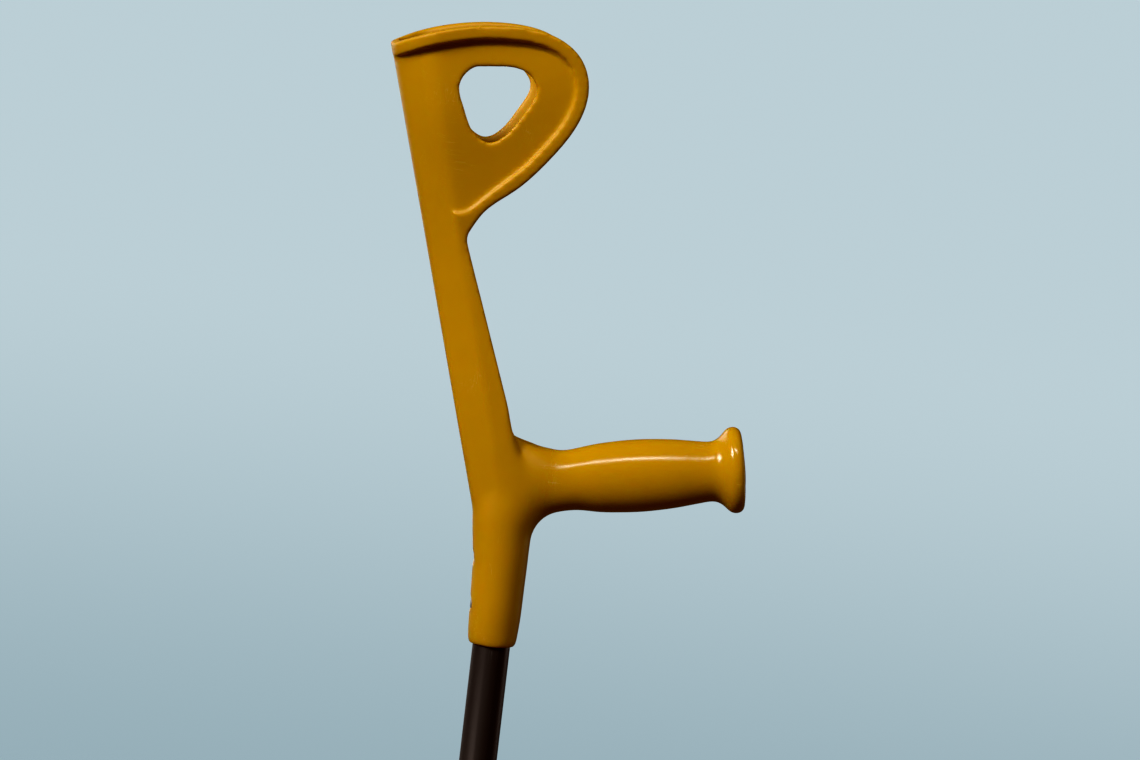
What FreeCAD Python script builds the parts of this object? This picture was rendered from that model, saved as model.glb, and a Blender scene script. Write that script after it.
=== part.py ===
"""Forearm (elbow) crutch, adjustable in height, modelled in millimetres.

Frame: the origin is the centre of the ferrule's sole, +Z runs up the shaft, +X is the way the hand
grip points (forward), and the crutch is symmetric about the XZ plane.

The lower body is the lower tube with its ferrule and spring lock. The upper body is the moulded
handle, which is the forearm cuff, column, hub, hand grip and socket in one moulding, on the upper tube.
"""

import math
import os

import FreeCAD
import Part

V = FreeCAD.Vector
Y_AXIS = V(0, 1, 0)
Z_AXIS = V(0, 0, 1)

# ---------------------------------------------------------------- driving dimensions (mm, degrees)
# Tubes
UPPER_OD = 22.0
UPPER_WALL = 1.2
UPPER_LENGTH = 555.0
LOWER_OD = 19.0
LOWER_WALL = 1.2
LOWER_LENGTH = 460.0
RUNNING_GAP = 0.07          # radial, where one piece slides or turns in another
SEAT_GAP = 0.02             # radial, where one piece is pushed on to another and stays

# Height adjustment
HOLE_PITCH = 20.0
HOLE_COUNT = 13
REST_HOLE = 5               # hole that the buttons sit in at rest, counted up from 0 at the lowest
LOWEST_HOLE = 60.0          # above the upper tube's lower end
HOLE_GAP = 0.15             # radial, button in the lower tube
TUBE_HOLE_GAP = 0.25        # radial, button in the upper tube
BUTTON_RADIUS = 3.1
BUTTON_PROUD = 2.4          # tip outside the upper tube
BUTTON_DOME = 1.6
BUTTON_BELOW_TOP = 34.0     # button axis below the lower tube's top
SHOULDER_RADIUS = 3.9
SHOULDER_THICKNESS = 1.2
SHOULDER_GAP = 0.15         # shoulder to the lower tube's inner wall

# Leaf spring that carries the buttons
LEAF_THICKNESS = 0.8
LEAF_WIDTH = 7.0
LEAF_LENGTH = 44.0          # button axis to the middle of the bend
LEAF_OVERRUN = 7.0          # leg above the button axis
LEAF_BEND_RADIUS = 3.6      # to the leaf's middle
STUB_RADIUS = 1.5
STUB_HEAD_RADIUS = 2.3
STUB_HEAD = 0.6
STUB_GAP = 0.1

# Ferrule
SOLE_RADIUS = 19.0
SOLE_THICKNESS = 12.0       # rubber under the washer
SOLE_EDGE = 1.6
FOOT_HEIGHT = 9.0
NECK_RADIUS = 13.6
NECK_START = 22.0
FERRULE_HEIGHT = 47.0
NECK_RING_RADIUS = 0.9
NECK_RING_HEIGHTS = (29.0, 35.0, 41.0)
TREAD_DEPTH = 1.8
TREAD_WIDTH = 2.2
TREAD_RADII = (6.0, 10.5, 15.0)
WASHER_THICKNESS = 1.5

# Guide collar on the upper tube's lower end, and the glide plug in the lower tube's top
COLLAR_WALL = 2.2
COLLAR_LENGTH = 24.0
COLLAR_FLOOR = 3.0
COLLAR_EDGE = 1.0
PLUG_FLANGE = 3.0
PLUG_DEPTH = 14.0
PLUG_BORE_RADIUS = 5.0

# Handle moulding: the socket, and the elbow between socket and hand grip
SOCKET_DEPTH = 88.0         # how far the upper tube enters the moulding
SOCKET_LIP = 3.0            # round on the socket's lower edge
SOCKET_OVAL = 0.1           # how much less the socket's half width is than its half depth
SOCKET_STATIONS = (         # above the socket's lower end, back and front from the shaft axis
    (0.0, 14.7, 14.8),
    (12.0, 15.1, 15.0),
    (24.0, 15.6, 15.2),
    (36.0, 16.1, 15.3),
    (48.0, 16.9, 15.4),
)
ROOT_FILLET = 19.5          # under the hand grip
ROOT_FILLET_X = 35.0        # centre of that fillet, forward of the shaft axis
ROOT_FILLET_H = 59.8        # and above the socket's lower end
ELBOW_STATIONS = (          # direction from that centre in degrees, depth, half width
    (180.0, 33.9, 16.2),
    (166.0, 37.2, 16.6),
    (152.0, 42.7, 17.0),
    (138.0, 49.5, 16.8),
    (124.0, 52.5, 16.2),
    (112.0, 44.3, 15.6),
    (102.0, 37.0, 15.2),
)

# Hand grip: an oval bar, tilted up, that flares to a flange at its end
GRIP_TILT = 9.5
GRIP_AXIS_H = 92.6          # height of the grip axis where it crosses the shaft axis
GRIP_STATIONS = (           # along the grip axis, half height, half width
    (38.0, 18.2, 15.2),
    (50.0, 19.9, 16.2),
    (62.0, 20.9, 16.8),
    (74.0, 21.3, 17.1),
    (86.0, 20.9, 16.8),
    (98.0, 19.9, 16.2),
    (107.0, 18.7, 15.4),
    (113.0, 17.9, 15.0),
    (118.5, 17.7, 15.0),
    (122.0, 19.1, 16.1),
    (125.0, 21.7, 18.2),
    (128.0, 24.6, 20.6),
    (131.4, 25.4, 21.4),
)
FLANGE_END = 135.6
FLANGE_EDGE = 3.8
FLANGE_TAPER = 1.4          # how much less the flange is at its end face than at its widest
CORE_RADIUS = 10.0          # hollow core of the grip
CORE_START = 40.0
CAP_RADIUS = 13.0
CAP_SINK = 1.6              # depth of the recess that the cap's disc lies in
CAP_PROUD = 0.6
CAP_EDGE = 0.5
CAP_PLUG = 9.0

# Column and forearm cuff: a trough, open to the front, leaning back
COLUMN_LEAN = 16.3
COLUMN_BACK = 22.9          # back of the column behind the shaft axis at COLUMN_DATUM
COLUMN_DATUM = 85.0         # above the socket's lower end
RIDGE_DEPTH = 17.5          # from the back of the trough to the soft ridge on its side
WALL = 4.2
FLOOR_WALL = 5.0
TROUGH_STATIONS = (         # along the column: half width of back, half width at ridge, edge and ridge radius
    (-14.0, 7.0, 15.6, 5.0, 9.0),
    (15.0, 8.0, 16.9, 5.0, 10.0),
    (60.0, 8.2, 17.6, 5.0, 11.0),
    (105.0, 9.0, 19.6, 6.0, 12.0),
    (150.0, 11.5, 23.8, 8.0, 14.0),
    (190.0, 16.5, 31.0, 11.0, 17.0),
    (230.0, 22.0, 38.5, 14.0, 20.0),
    (285.0, 27.0, 46.0, 17.0, 22.0),
)
RIM_WIDTH = 7.4             # border of the cuff, which stands proud of its panel
RIM_STATIONS = (            # along the column, how far the border stands out at the sides and at the back
    (120.0, 0.15, 0.15),
    (150.0, 0.9, 0.2),
    (180.0, 2.6, 0.25),
    (210.0, 2.8, 0.3),
    (245.0, 2.8, 0.3),
    (285.0, 2.8, 0.3),
)
RIM_END = (140.0, 164.0)    # along the ridge, where the border runs out on the column and where its step meets the ridge
RIM_RUNOUT = ((-44.5, 248.9), (-53.0, 247.6))
CHANNEL_SWEEP = 70.0        # radius of the trough's floor where it turns out of the column
CHANNEL_RUNOUT = 23.3       # radius where it runs out on to the hand grip
RUNOUT_CENTRE = (19.5, 138.6)
RUNOUT_CLEAR = 34.0         # height over the grip where the trough's cut passes clear of the flange

# Side outline of the cuff, forward of the shaft axis and above the socket's lower end:
# along the top, round the nose and down the lower edge to the neck.
CUFF_OUTLINE = (
    (-112.0, 331.0), (-82.7, 345.2), (-55.5, 353.4), (-27.9, 356.2), (-5.3, 352.9),
    (9.8, 342.3), (16.0, 326.6), (13.3, 307.8), (-0.4, 284.2), (-19.7, 262.4),
    (-35.4, 248.0), (-40.5, 238.8), (-41.2, 229.0),
)
COLUMN_FRONT_FOOT = (5.5, 104.0)
WINDOW_OUTLINE = (
    (-47.3, 331.7), (-33.0, 333.2), (-20.0, 331.2), (-13.2, 322.6), (-18.0, 309.2),
    (-27.0, 295.2), (-36.5, 289.4), (-46.0, 294.3), (-53.2, 308.0), (-56.8, 321.5),
)

# Rivets that hold the upper tube in the socket
RIVET_RADIUS = 2.4
RIVET_HEAD_RADIUS = 3.4
RIVET_HEAD = 1.6
RIVET_TAIL_RADIUS = 3.6
RIVET_TAIL = 3.0
RIVETS = ((20.0, 13.4), (46.0, 14.0))   # height, and how far behind the shaft axis the head is seated
RIVET_SINK_GAP = 0.2        # head to the wall of its spot face

FAR = 400.0                 # reach of cutting tools past the part

# ---------------------------------------------------------------- places that follow from them
UPPER_IR = UPPER_OD / 2 - UPPER_WALL
LOWER_IR = LOWER_OD / 2 - LOWER_WALL
LOWER_FOOT = SOLE_THICKNESS + WASHER_THICKNESS
LOWER_TOP = LOWER_FOOT + LOWER_LENGTH
BUTTON_Z = LOWER_TOP - BUTTON_BELOW_TOP
UPPER_FOOT = BUTTON_Z - LOWEST_HOLE - REST_HOLE * HOLE_PITCH
UPPER_TOP = UPPER_FOOT + UPPER_LENGTH
SOCKET_Z = UPPER_TOP - SOCKET_DEPTH


def place(x, h, y=0.0):
    """A point given forward of the shaft axis and above the socket's lower end."""
    return V(x, y, SOCKET_Z + h)


def cylinder(radius, base, height, axis=Z_AXIS):
    return Part.makeCylinder(radius, height, base, axis)


def turned(points):
    """A solid turned about the shaft axis from (radius, z) points."""
    corners = [V(r, 0, z) for r, z in points]
    wire = Part.makePolygon(corners + corners[:1])
    return Part.Face(wire).revolve(V(0, 0, 0), Z_AXIS, 360)


def edges_where(shape, test):
    return [e for e in shape.Edges if test(e)]


def circle_edge(radius, z):
    """A test for a round edge of that radius at that height."""
    def test(edge):
        curve = edge.Curve
        return (isinstance(curve, Part.Circle) and abs(curve.Radius - radius) < 1e-4
                and abs(curve.Center.z - z) < 1e-4)
    return test


# ---------------------------------------------------------------- lower body
def ferrule():
    bore = LOWER_OD / 2 + SEAT_GAP
    body = turned([
        (0, 0), (SOLE_RADIUS, 0), (SOLE_RADIUS - 0.6, FOOT_HEIGHT), (NECK_RADIUS, NECK_START),
        (NECK_RADIUS - 0.5, FERRULE_HEIGHT), (bore, FERRULE_HEIGHT), (bore, SOLE_THICKNESS),
        (0, SOLE_THICKNESS),
    ])
    body = body.makeFillet(SOLE_EDGE, edges_where(body, circle_edge(SOLE_RADIUS, 0)))
    body = body.makeFillet(6.0, edges_where(body, circle_edge(NECK_RADIUS, NECK_START)))
    body = body.makeFillet(4.0, edges_where(body, circle_edge(SOLE_RADIUS - 0.6, FOOT_HEIGHT)))
    body = body.makeFillet(1.2, edges_where(body, circle_edge(NECK_RADIUS - 0.5, FERRULE_HEIGHT)))
    for z in NECK_RING_HEIGHTS:
        wall = NECK_RADIUS - 0.5 * (z - NECK_START) / (FERRULE_HEIGHT - NECK_START)
        body = body.fuse(Part.makeTorus(wall, NECK_RING_RADIUS, V(0, 0, z), Z_AXIS))
    for r in TREAD_RADII:
        groove = cylinder(r + TREAD_WIDTH / 2, V(0, 0, 0), TREAD_DEPTH)
        body = body.cut(groove.cut(cylinder(r - TREAD_WIDTH / 2, V(0, 0, 0), TREAD_DEPTH)))
    return body.removeSplitter()


def ferrule_washer():
    body = cylinder(LOWER_OD / 2 - 0.2, V(0, 0, SOLE_THICKNESS), WASHER_THICKNESS)
    return body.cut(cylinder(LOWER_OD / 5, V(0, 0, SOLE_THICKNESS), WASHER_THICKNESS))


def lower_tube():
    body = cylinder(LOWER_OD / 2, V(0, 0, LOWER_FOOT), LOWER_LENGTH)
    body = body.cut(cylinder(LOWER_IR, V(0, 0, LOWER_FOOT), LOWER_LENGTH))
    return body.cut(cylinder(BUTTON_RADIUS + HOLE_GAP, V(0, -LOWER_OD, BUTTON_Z), 2 * LOWER_OD, Y_AXIS))


def glide_plug():
    """Plug in the lower tube's top. Its flange runs in the upper tube's bore."""
    body = cylinder(LOWER_IR - SEAT_GAP, V(0, 0, LOWER_TOP - PLUG_DEPTH), PLUG_DEPTH)
    flange = cylinder(UPPER_IR - RUNNING_GAP, V(0, 0, LOWER_TOP), PLUG_FLANGE)
    flange = flange.makeFillet(0.8, edges_where(flange, circle_edge(UPPER_IR - RUNNING_GAP, LOWER_TOP + PLUG_FLANGE)))
    body = body.fuse(flange)
    return body.cut(cylinder(PLUG_BORE_RADIUS, V(0, 0, LOWER_TOP - PLUG_DEPTH), PLUG_DEPTH + PLUG_FLANGE))


def shoulder_face():
    """Distance of the button's shoulder face from the shaft axis: it bears on the tube's round wall."""
    return math.sqrt(LOWER_IR ** 2 - SHOULDER_RADIUS ** 2) - SHOULDER_GAP


def lock_button(side):
    """One lock button, with its shoulder and the stub that holds it on the leaf. side is -1 or 1."""
    out = V(0, side, 0)
    inner = shoulder_face() - SHOULDER_THICKNESS
    tip = UPPER_OD / 2 + BUTTON_PROUD

    def disc(radius, start, end):
        return cylinder(radius, V(0, side * start, BUTTON_Z), end - start, out)

    pin = disc(BUTTON_RADIUS, inner, tip)
    crown = [e for e in pin.Edges if isinstance(e.Curve, Part.Circle) and abs(abs(e.Curve.Center.y) - tip) < 1e-4]
    pin = pin.makeFillet(BUTTON_DOME, crown)
    body = pin.fuse([
        disc(SHOULDER_RADIUS, inner, shoulder_face()),
        disc(STUB_RADIUS, inner - LEAF_THICKNESS - STUB_HEAD, inner),
        disc(STUB_HEAD_RADIUS, inner - LEAF_THICKNESS - STUB_HEAD, inner - LEAF_THICKNESS),
    ])
    return body.removeSplitter()


def button_spring():
    """A strip bent to a narrow U, open at the top, that presses both buttons outwards."""
    leg = shoulder_face() - SHOULDER_THICKNESS - LEAF_THICKNESS / 2
    top = BUTTON_Z + LEAF_OVERRUN
    straight = BUTTON_Z - LEAF_OVERRUN
    bend_z = BUTTON_Z - LEAF_LENGTH

    def outline(grow, sense):
        """Half the strip's outline: the leg's outer or inner side, down to the bend."""
        y, r = leg + grow, LEAF_BEND_RADIUS + grow
        return [V(0, sense * y, top), V(0, sense * y, straight), V(0, sense * r, bend_z)], r

    half = LEAF_THICKNESS / 2
    (o_left, r_out), (o_right, _) = outline(half, -1), outline(half, 1)
    (i_left, r_in), (i_right, _) = outline(-half, -1), outline(-half, 1)
    edges = [
        Part.LineSegment(o_left[0], o_left[1]), Part.LineSegment(o_left[1], o_left[2]),
        Part.Arc(o_left[2], V(0, 0, bend_z - r_out), o_right[2]),
        Part.LineSegment(o_right[2], o_right[1]), Part.LineSegment(o_right[1], o_right[0]),
        Part.LineSegment(o_right[0], i_right[0]),
        Part.LineSegment(i_right[0], i_right[1]), Part.LineSegment(i_right[1], i_right[2]),
        Part.Arc(i_right[2], V(0, 0, bend_z - r_in), i_left[2]),
        Part.LineSegment(i_left[2], i_left[1]), Part.LineSegment(i_left[1], i_left[0]),
        Part.LineSegment(i_left[0], o_left[0]),
    ]
    strip = Part.Face(Part.Wire([e.toShape() for e in edges])).extrude(V(LEAF_WIDTH, 0, 0))
    strip.translate(V(-LEAF_WIDTH / 2, 0, 0))
    return strip.cut(cylinder(STUB_RADIUS + STUB_GAP, V(0, -LOWER_OD, BUTTON_Z), 2 * LOWER_OD, Y_AXIS))


# ---------------------------------------------------------------- upper body: tube and fittings
def upper_tube():
    body = cylinder(UPPER_OD / 2, V(0, 0, UPPER_FOOT), UPPER_LENGTH)
    body = body.cut(cylinder(UPPER_IR, V(0, 0, UPPER_FOOT), UPPER_LENGTH))
    for k in range(HOLE_COUNT):
        z = UPPER_FOOT + LOWEST_HOLE + k * HOLE_PITCH
        body = body.cut(cylinder(BUTTON_RADIUS + TUBE_HOLE_GAP, V(0, -UPPER_OD, z), 2 * UPPER_OD, Y_AXIS))
    for h, _ in RIVETS:
        body = body.cut(cylinder(RIVET_RADIUS + SEAT_GAP, place(-UPPER_OD, h), UPPER_OD, V(1, 0, 0)))
    return body


def guide_collar():
    """Plastic collar over the upper tube's lower end. Its floor guides the lower tube."""
    outer = UPPER_OD / 2 + COLLAR_WALL
    foot = UPPER_FOOT - COLLAR_FLOOR
    body = cylinder(outer, V(0, 0, foot), COLLAR_LENGTH)
    body = body.makeFillet(COLLAR_EDGE, edges_where(body, circle_edge(outer, foot)))
    body = body.makeFillet(COLLAR_EDGE, edges_where(body, circle_edge(outer, foot + COLLAR_LENGTH)))
    body = body.cut(cylinder(UPPER_OD / 2 + SEAT_GAP, V(0, 0, UPPER_FOOT), COLLAR_LENGTH))
    return body.cut(cylinder(LOWER_OD / 2 + RUNNING_GAP, V(0, 0, foot), COLLAR_LENGTH))


def socket_rivets():
    """Blind rivets through the back of the socket and the tube's wall."""
    solids = []
    inner = 0.1 - math.sqrt(UPPER_IR ** 2 - RIVET_TAIL_RADIUS ** 2)
    for h, behind in RIVETS:
        head = cylinder(RIVET_HEAD_RADIUS, place(-behind, h), RIVET_HEAD, V(-1, 0, 0))
        crown = edges_where(head, lambda e: isinstance(e.Curve, Part.Circle)
                            and abs(e.Curve.Center.x + behind + RIVET_HEAD) < 1e-4)
        head = head.makeFillet(RIVET_HEAD * 0.8, crown)
        shank = cylinder(RIVET_RADIUS, place(-behind, h), behind + inner + RIVET_TAIL / 2, V(1, 0, 0))
        tail = cylinder(RIVET_TAIL_RADIUS, place(inner, h), RIVET_TAIL, V(1, 0, 0))
        solids.append(head.fuse([shank, tail]).removeSplitter())
    return Part.makeCompound(solids)


# ---------------------------------------------------------------- upper body: the handle moulding
def grip_point(u, v=0.0, y=0.0):
    """A point on the hand grip: u along its axis from the shaft axis, v upwards across it."""
    tilt = math.radians(GRIP_TILT)
    return place(u * math.cos(tilt) - v * math.sin(tilt), GRIP_AXIS_H + u * math.sin(tilt) + v * math.cos(tilt), y)


def grip_direction():
    return grip_point(1) - grip_point(0)


def oval(centre, across, half_across, half_width):
    """A closed oval: half_across along the direction across, which is the longer one, half_width along Y."""
    curve = Part.Ellipse(centre + across * half_across, centre + Y_AXIS * half_width, centre)
    return Part.Wire([curve.toBSpline().toShape()])


def handle_bar():
    """The socket, the elbow over the root fillet and the hand grip with its flange, as one smooth bar."""
    wires = []
    for h, back, front in SOCKET_STATIONS:
        half = (front + back) / 2
        wires.append(oval(place((front - back) / 2, h), V(-1, 0, 0), half, half - SOCKET_OVAL))
    for angle, length, width in ELBOW_STATIONS:
        out = V(math.cos(math.radians(angle)), 0, math.sin(math.radians(angle)))
        centre = place(ROOT_FILLET_X, ROOT_FILLET_H) + out * (ROOT_FILLET + length / 2)
        wires.append(oval(centre, out, length / 2, width))
    up = grip_point(0, 1) - grip_point(0)
    for u, height, width in GRIP_STATIONS:
        wires.append(oval(grip_point(u), up, height, width))
    _, height, width = GRIP_STATIONS[-1]
    wires.append(oval(grip_point(FLANGE_END), up, height - FLANGE_TAPER, width - FLANGE_TAPER))
    bar = Part.makeLoft(wires, True, False)
    end = grip_point(FLANGE_END)
    edge = edges_where(bar, lambda e: (e.CenterOfMass - end).Length < 1.0)
    bar = bar.makeFillet(FLANGE_EDGE, edge)
    lip = edges_where(bar, lambda e: abs(e.CenterOfMass.z - SOCKET_Z) < 0.5)
    return bar.makeFillet(SOCKET_LIP, lip)


def column_point(t, x=0.0, y=0.0):
    """A point on the column: t up along it from its datum, x forward from its back."""
    lean = math.radians(COLUMN_LEAN)
    return place(-COLUMN_BACK - t * math.sin(lean) + x * math.cos(lean),
                 COLUMN_DATUM + t * math.cos(lean) + x * math.sin(lean), y)


def shifted_line(a, b, inset):
    """The line through a and b, moved inwards (towards y = 0 and forward) by inset."""
    dx, dy = b[0] - a[0], b[1] - a[1]
    size = math.hypot(dx, dy)
    nx, ny = dy / size, -dx / size
    return (a[0] + nx * inset, a[1] + ny * inset), (b[0] + nx * inset, b[1] + ny * inset)


def crossing(p, q, r, s):
    """Where the line through p and q meets the line through r and s."""
    d = (p[0] - q[0]) * (r[1] - s[1]) - (p[1] - q[1]) * (r[0] - s[0])
    a, b = p[0] * q[1] - p[1] * q[0], r[0] * s[1] - r[1] * s[0]
    return (a * (r[0] - s[0]) - (p[0] - q[0]) * b) / d, (a * (r[1] - s[1]) - (p[1] - q[1]) * b) / d


def rounded(corner, before, after, radius):
    """The two tangent points and the middle of the arc that rounds a corner."""
    def unit(p):
        dx, dy = p[0] - corner[0], p[1] - corner[1]
        size = math.hypot(dx, dy)
        return dx / size, dy / size
    u, w = unit(before), unit(after)
    half = math.acos(max(-1.0, min(1.0, u[0] * w[0] + u[1] * w[1]))) / 2
    back = radius / math.tan(half)
    mid = (u[0] + w[0], u[1] + w[1])
    size = math.hypot(*mid)
    reach = radius / math.sin(half) - radius
    return ((corner[0] + u[0] * back, corner[1] + u[1] * back),
            (corner[0] + mid[0] / size * reach, corner[1] + mid[1] / size * reach),
            (corner[0] + w[0] * back, corner[1] + w[1] * back))


def trough_section(t, back, ridge, edge_radius, ridge_radius, wall=0.0, floor=0.0):
    """A closed section across the column at t. wall and floor move its sides and back inwards."""
    deep = 190.0
    flat = ((floor, 0.0), (floor, 1.0))
    facet = shifted_line((0.0, back), (RIDGE_DEPTH, ridge), wall)
    side = ((RIDGE_DEPTH, ridge - wall), (deep, ridge - wall))
    a = crossing(flat[0], flat[1], facet[0], facet[1])
    b = crossing(facet[0], facet[1], side[0], side[1])
    e = rounded(a, (a[0], 0.0), b, max(edge_radius - wall, 1.5))
    r = rounded(b, a, (deep, b[1]), max(ridge_radius - wall, 2.0))

    def at(p, sign):
        return column_point(t, p[0], sign * p[1])

    edges = []
    for sign, order in ((1, 1), (-1, -1)):
        run = [
            Part.Arc(at(e[0], sign), at(e[1], sign), at(e[2], sign)),
            Part.LineSegment(at(e[2], sign), at(r[0], sign)),
            Part.Arc(at(r[0], sign), at(r[1], sign), at(r[2], sign)),
            Part.LineSegment(at(r[2], sign), at((deep, b[1]), sign)),
        ]
        edges.append(run)
    closing = Part.LineSegment(at((deep, b[1]), 1), at((deep, b[1]), -1))
    backing = Part.LineSegment(at(e[0], -1), at(e[0], 1))
    ordered = edges[0] + [closing] + edges[1][::-1] + [backing]
    return Part.Wire([s.toShape() for s in ordered])


def trough_loft(stations, **offsets):
    return Part.makeLoft([trough_section(*s, **offsets) for s in stations], True, False)


def flat_curve(points, start=None, end=None):
    """A smooth curve in the XZ plane through (x, h) points."""
    curve = Part.BSplineCurve()
    options = {"Points": [place(*p) for p in points]}
    if end:
        options["InitialTangent"] = V(start[0], 0, start[1])
        options["FinalTangent"] = V(end[0], 0, end[1])
    curve.interpolate(**options)
    return curve


def wide(wire):
    """A flat outline in the XZ plane made into a tool that is wider than the part."""
    tool = Part.Face(wire).extrude(V(0, FAR, 0))
    tool.translate(V(0, -FAR / 2, 0))
    return tool


def column_front_direction():
    neck, foot = CUFF_OUTLINE[-1], COLUMN_FRONT_FOOT
    size = math.hypot(foot[0] - neck[0], foot[1] - neck[1])
    return (foot[0] - neck[0]) / size, (foot[1] - neck[1]) / size


def cuff_curve():
    first, second = CUFF_OUTLINE[0], CUFF_OUTLINE[1]
    reach = 30.0
    start = (second[0] - first[0], second[1] - first[1])
    end = tuple(reach * c for c in column_front_direction())
    return flat_curve(CUFF_OUTLINE, start, end)


def forearm_profile():
    """The side outline of cuff and column, as a wide tool. Its back runs clear behind the trough."""
    curve = cuff_curve()
    corners = [place(*CUFF_OUTLINE[-1]), place(*COLUMN_FRONT_FOOT), place(0.0, 60.0), place(-60.0, 60.0),
               place(*CUFF_OUTLINE[0])]
    edges = [curve.toShape()] + [Part.LineSegment(a, b).toShape() for a, b in zip(corners, corners[1:])]
    return wide(Part.Wire(edges))


def border_tool():
    """All that lies outside the cuff's sunk panel: the outline moved in by the border's width, and beyond."""
    curve = cuff_curve()
    steps = 22
    first, last = curve.FirstParameter, curve.LastParameter
    inner = []
    for i in range(steps + 1):
        u = first + (last - first) * 0.85 * i / steps
        tangent = curve.tangent(u)[0]
        inner.append(curve.value(u) + V(tangent.z, 0, -tangent.x) * RIM_WIDTH)
    inner += [place(*p) for p in RIM_RUNOUT]
    step = Part.BSplineCurve()
    step.approximate(Points=inner, DegMin=3, DegMax=5, Tolerance=0.08)
    start, end = step.value(step.FirstParameter), step.value(step.LastParameter)
    low, high = (column_point(t, RIDGE_DEPTH) for t in RIM_END)
    corners = [end, high, low, low + V(FAR / 4, 0, 0), place(FAR / 4, FAR), place(-FAR, FAR),
               place(-FAR, start.z - SOCKET_Z), start]
    edges = [step.toShape()] + [Part.LineSegment(a, b).toShape() for a, b in zip(corners, corners[1:])]
    return wide(Part.Wire(edges))


def channel_profile():
    """Everything in front of the trough's floor: straight up the column, then swept out on to the grip."""
    ahead = column_point(0, 1) - column_point(0)
    run_centre = place(*RUNOUT_CENTRE)
    floor_foot = column_point(0, FLOOR_WALL)
    # Sweep arc: touches the floor line and the run-out arc from outside the material.
    gap = CHANNEL_SWEEP - CHANNEL_RUNOUT
    along = (run_centre - floor_foot).dot(column_point(1) - column_point(0))
    off = (run_centre - floor_foot).dot(ahead)
    rise = math.sqrt(gap ** 2 - (CHANNEL_SWEEP - off) ** 2)
    sweep_centre = column_point(along + rise, FLOOR_WALL + CHANNEL_SWEEP)
    touch = column_point(along + rise, FLOOR_WALL)
    meet = run_centre + (run_centre - sweep_centre).normalize() * CHANNEL_RUNOUT
    bottom = run_centre - V(0, 0, CHANNEL_RUNOUT)
    mid_dir = ((touch - sweep_centre).normalize() + (meet - sweep_centre).normalize()).normalize()
    run_dir = ((meet - run_centre).normalize() + (bottom - run_centre).normalize()).normalize()
    high = column_point(330, FLOOR_WALL)
    clear = bottom + V(RUNOUT_CLEAR, 0, RUNOUT_CLEAR)
    ahead_top = V(FAR / 2, 0, high.z)
    ahead_low = V(FAR / 2, 0, clear.z)
    corners = [bottom, clear, ahead_low, ahead_top, high, touch]
    edges = [
        Part.Arc(touch, sweep_centre + mid_dir * CHANNEL_SWEEP, meet),
        Part.Arc(meet, run_centre + run_dir * CHANNEL_RUNOUT, bottom),
    ] + [Part.LineSegment(a, b) for a, b in zip(corners, corners[1:])]
    return wide(Part.Wire([e.toShape() for e in edges]))


def window():
    curve = Part.BSplineCurve()
    curve.interpolate(Points=[place(*p) for p in WINDOW_OUTLINE], PeriodicFlag=True)
    return wide(Part.Wire([curve.toShape()]))


def station_at(t):
    """The trough's station at t, between the listed ones."""
    for low, high in zip(TROUGH_STATIONS, TROUGH_STATIONS[1:]):
        if low[0] <= t <= high[0]:
            share = (t - low[0]) / (high[0] - low[0])
            return tuple(a + (b - a) * share for a, b in zip(low, high))
    return TROUGH_STATIONS[-1]


def forearm_trough():
    """Cuff and column as a filled trough, with the proud border."""
    border = Part.makeLoft([trough_section(*station_at(t), wall=-side, floor=-back) for t, side, back in RIM_STATIONS],
                           True, False)
    filled = trough_loft(TROUGH_STATIONS).fuse(border.common(border_tool()))
    return filled.common(forearm_profile())


def handle_moulding():
    void = trough_loft(TROUGH_STATIONS, wall=WALL, floor=FLOOR_WALL).common(channel_profile())
    body = handle_bar().fuse(forearm_trough())
    body = body.cut(void).cut(window())
    body = body.cut(cylinder(UPPER_OD / 2 + SEAT_GAP, place(0, -1), SOCKET_DEPTH + 1))
    core = grip_direction()
    body = body.cut(cylinder(CORE_RADIUS, grip_point(CORE_START), FLANGE_END, core))
    body = body.cut(cylinder(CAP_RADIUS + SEAT_GAP, grip_point(FLANGE_END - CAP_SINK), FLANGE_END, core))
    for h, behind in RIVETS:
        body = body.cut(cylinder(RIVET_RADIUS + SEAT_GAP, place(-2 * UPPER_OD, h), 2 * UPPER_OD, V(1, 0, 0)))
        body = body.cut(cylinder(RIVET_HEAD_RADIUS + RIVET_SINK_GAP, place(-behind, h), UPPER_OD, V(-1, 0, 0)))
    return body


def grip_end_cap():
    """Cap in the hand grip's hollow end: a disc with a hollow plug behind it."""
    core = grip_direction()
    face = FLANGE_END + CAP_PROUD
    back = FLANGE_END - CAP_SINK
    disc = cylinder(CAP_RADIUS, grip_point(back), face - back, core)
    front = edges_where(disc, lambda e: (e.CenterOfMass - grip_point(face)).Length < 1e-3)
    disc = disc.makeFillet(CAP_EDGE, front)
    plug = cylinder(CORE_RADIUS - SEAT_GAP, grip_point(back - CAP_PLUG), CAP_PLUG, core)
    hollow = cylinder(CORE_RADIUS - CAP_SINK, grip_point(back - CAP_PLUG), CAP_PLUG, core)
    return disc.fuse(plug.cut(hollow)).removeSplitter()


def nodes():
    return {
        "handle_moulding": handle_moulding(),
        "grip_end_cap": grip_end_cap(),
        "upper_tube": upper_tube(),
        "socket_rivets": socket_rivets(),
        "guide_collar": guide_collar(),
        "lower_tube": lower_tube(),
        "glide_plug": glide_plug(),
        "button_spring": button_spring(),
        "lock_button_right": lock_button(-1),
        "lock_button_left": lock_button(1),
        "ferrule": ferrule(),
        "ferrule_washer": ferrule_washer(),
    }


def main():
    os.makedirs("parts", exist_ok=True)
    for name, shape in nodes().items():
        shape.exportStep(os.path.join("parts", name + ".step"))
        print(name, "solids", len(shape.Solids), "valid", shape.isValid(), "volume", round(shape.Volume))


main()
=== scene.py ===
"""Forearm crutch: the looks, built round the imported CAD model."""

import math

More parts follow.
